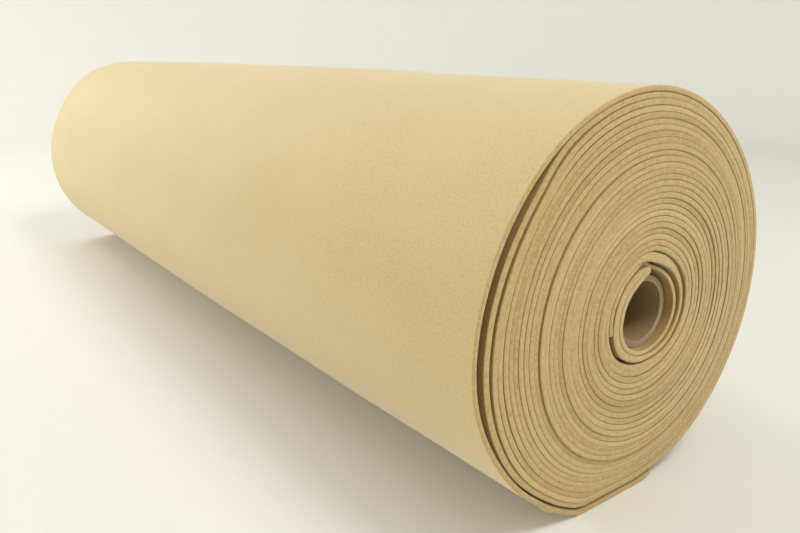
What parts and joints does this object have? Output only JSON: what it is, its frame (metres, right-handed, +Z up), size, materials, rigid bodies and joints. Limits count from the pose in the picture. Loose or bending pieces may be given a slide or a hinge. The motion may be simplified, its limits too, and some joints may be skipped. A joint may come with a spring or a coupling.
{
  "type": "roll of felt",
  "caption": "Roll of thick tan felt wound on a cardboard core, lying on its side with a loose outer turn.",
  "frame": {"origin": "on the floor, under the middle of the roll's box", "axes": "+X along the roll towards the end with the fold at its core, +Z up"},
  "size_m": [0.914, 0.2652, 0.2584],
  "materials": {
    "felt": "matte tan needle felt",
    "cardboard": "matte spiral-wound brown board"
  },
  "bodies": {
    "root": {"felt_roll": "felt", "core_tube": "cardboard"}
  },
  "joints": []
}
